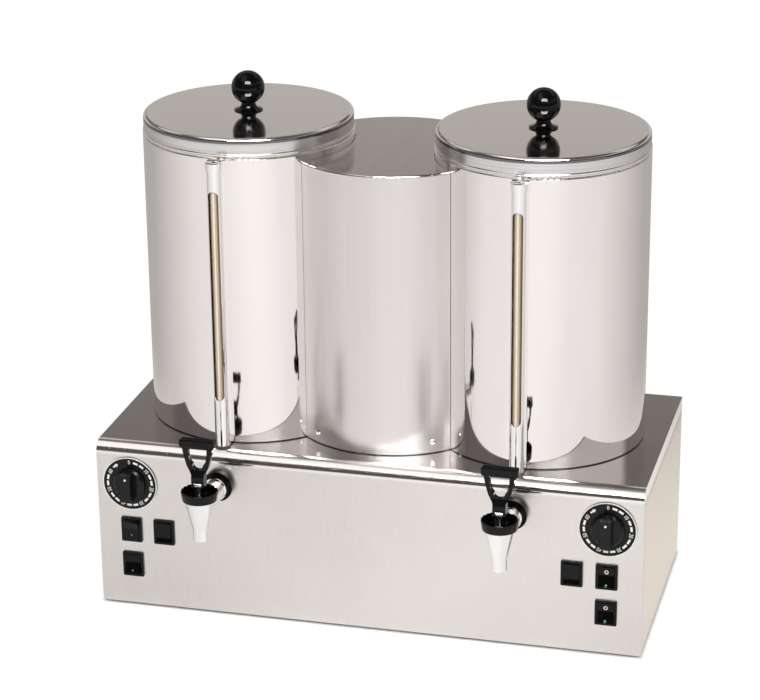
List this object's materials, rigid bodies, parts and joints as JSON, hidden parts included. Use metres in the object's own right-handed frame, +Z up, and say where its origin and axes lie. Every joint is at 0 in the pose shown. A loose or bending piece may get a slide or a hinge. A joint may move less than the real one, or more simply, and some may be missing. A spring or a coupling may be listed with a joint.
{
  "type": "coffee urn",
  "caption": "Counter-top brewer with two polished cylindrical urns beside a boiler tower on a steel base, with lever taps, sight gauges, timers and rocker switches.",
  "frame": {"origin": "On the ground under the middle of the whole outline.", "axes": "+X runs along the base to the right as seen from the front, +Y runs from the taps towards the back, +Z is up."},
  "size_m": [0.64, 0.396, 0.6145],
  "materials": {
    "mirror_steel": "mirror-polished stainless steel",
    "satin_steel": "stainless steel with a fine grain",
    "lid_steel": "polished stainless steel with faint ring marks",
    "zinc_steel": "plain zinc-plated sheet",
    "chrome_plate": "bright chrome plate",
    "black_gloss": "smooth black plastic",
    "black_matte": "fine-textured black plastic",
    "black_rubber": "black rubber",
    "silicone": "milky silicone",
    "ivory_plastic": "pale moulded plastic",
    "gauge_glass": "glass tube stained by coffee",
    "yellow_brass": "machined brass",
    "copper_tube": "drawn copper tube",
    "steel_tube": "drawn stainless steel"
  },
  "bodies": {
    "base": {"cover_sheet": "satin_steel", "side_casing": "satin_steel", "bottom_plate": "zinc_steel", "feet": "black_rubber", "cable_gland": "black_matte", "terminal_block": "ivory_plastic", "inlet_valve": "yellow_brass", "tower_front": "mirror_steel", "tower_back": "mirror_steel", "tower_top": "satin_steel", "tower_screws": "mirror_steel", "boiler_tank": "steel_tube", "boiler_element": "steel_tube", "boiler_thermostat": "black_matte", "transfer_pipes": "copper_tube", "jacket_left": "mirror_steel", "jacket_right": "mirror_steel", "vessel_left": "satin_steel", "vessel_right": "satin_steel", "urn_heaters": "zinc_steel", "outlet_pipes": "copper_tube", "tees": "yellow_brass", "channel_left": "chrome_plate", "channel_right": "chrome_plate", "gauge_tube_left": "gauge_glass", "gauge_tube_right": "gauge_glass", "gauge_seals": "black_rubber", "gauge_clips": "chrome_plate", "tap_body_left": "chrome_plate", "tap_body_right": "chrome_plate", "tap_collars": "black_gloss", "tap_nuts": "zinc_steel", "bonnet_left": "black_gloss", "bonnet_right": "black_gloss", "dial_left": "black_matte", "dial_right": "black_matte", "timer_movements": "zinc_steel", "switch_housings": "black_gloss"},
    "lid_left_body": {"lid_left": "lid_steel", "knob_left": "black_gloss", "lid_screw_left": "zinc_steel"},
    "lid_right_body": {"lid_right": "lid_steel", "knob_right": "black_gloss", "lid_screw_right": "zinc_steel"},
    "valve_left": {"stem_left": "steel_tube", "seat_left": "silicone"},
    "valve_right": {"stem_right": "steel_tube", "seat_right": "silicone"},
    "tap_lever_left": {"lever_left": "black_gloss"},
    "tap_lever_right": {"lever_right": "black_gloss"},
    "timer_left": {"timer_knob_left": "black_matte"},
    "timer_right": {"timer_knob_right": "black_matte"},
    "switch_left_upper": {"rocker_left_upper": "black_gloss"},
    "switch_left_lower": {"rocker_left_lower": "black_gloss"},
    "switch_right_upper": {"rocker_right_upper": "black_gloss"},
    "switch_right_lower": {"rocker_right_lower": "black_gloss"},
    "push_left_body": {"push_left": "black_gloss"},
    "push_right_body": {"push_right": "black_gloss"}
  },
  "joints": [
    {"name": "lid_left_lift", "type": "slide", "parent": "base", "child": "lid_left_body", "axis": [0, 0, 1], "range_m": [0, 0.12]},
    {"name": "valve_left_lift", "type": "slide", "parent": "base", "child": "valve_left", "axis": [0, 0, 1], "range_m": [0, 0.003]},
    {"name": "tap_left_pull", "type": "hinge", "parent": "valve_left", "child": "tap_lever_left", "pos_m": [-0.172, -0.177, 0.1943], "axis": [1, 0, 0], "range_deg": [0, 40], "stiffness_Nm_per_rad": 0.5},
    {"name": "timer_left_turn", "type": "hinge", "parent": "base", "child": "timer_left", "pos_m": [-0.28, -0.107, 0.15599], "axis": [0, 1, 0], "range_deg": [0, 300]},
    {"name": "lid_right_lift", "type": "slide", "parent": "base", "child": "lid_right_body", "axis": [0, 0, 1], "range_m": [0, 0.12]},
    {"name": "valve_right_lift", "type": "slide", "parent": "base", "child": "valve_right", "axis": [0, 0, 1], "range_m": [0, 0.003]},
    {"name": "tap_right_pull", "type": "hinge", "parent": "valve_right", "child": "tap_lever_right", "pos_m": [0.172, -0.177, 0.1943], "axis": [1, 0, 0], "range_deg": [0, 40], "stiffness_Nm_per_rad": 0.5},
    {"name": "timer_right_turn", "type": "hinge", "parent": "base", "child": "timer_right", "pos_m": [0.28, -0.107, 0.15599], "axis": [0, 1, 0], "range_deg": [0, 300]},
    {"name": "rocker_left_upper_tip", "type": "hinge", "parent": "base", "child": "switch_left_upper", "pos_m": [-0.28, -0.1064, 0.09799], "axis": [1, 0, 0], "range_deg": [-20, 0]},
    {"name": "rocker_left_lower_tip", "type": "hinge", "parent": "base", "child": "switch_left_lower", "pos_m": [-0.28, -0.1064, 0.05355], "axis": [1, 0, 0], "range_deg": [0, 20]},
    {"name": "rocker_right_upper_tip", "type": "hinge", "parent": "base", "child": "switch_right_upper", "pos_m": [0.28, -0.1064, 0.09799], "axis": [1, 0, 0], "range_deg": [0, 20]},
    {"name": "rocker_right_lower_tip", "type": "hinge", "parent": "base", "child": "switch_right_lower", "pos_m": [0.28, -0.1064, 0.05355], "axis": [1, 0, 0], "range_deg": [0, 20]},
    {"name": "push_left_press", "type": "hinge", "parent": "base", "child": "push_left_body", "pos_m": [-0.2405, -0.1064, 0.09799], "axis": [1, 0, 0], "range_deg": [0, 12], "stiffness_Nm_per_rad": 0.2},
    {"name": "push_right_press", "type": "hinge", "parent": "base", "child": "push_right_body", "pos_m": [0.2405, -0.1064, 0.09799], "axis": [1, 0, 0], "range_deg": [0, 12], "stiffness_Nm_per_rad": 0.2}
  ],
  "couplings": [
    {"joint": "valve_left_lift", "follows": "tap_left_pull", "m_per_rad": 0.0042},
    {"joint": "valve_right_lift", "follows": "tap_right_pull", "m_per_rad": 0.0042}
  ]
}
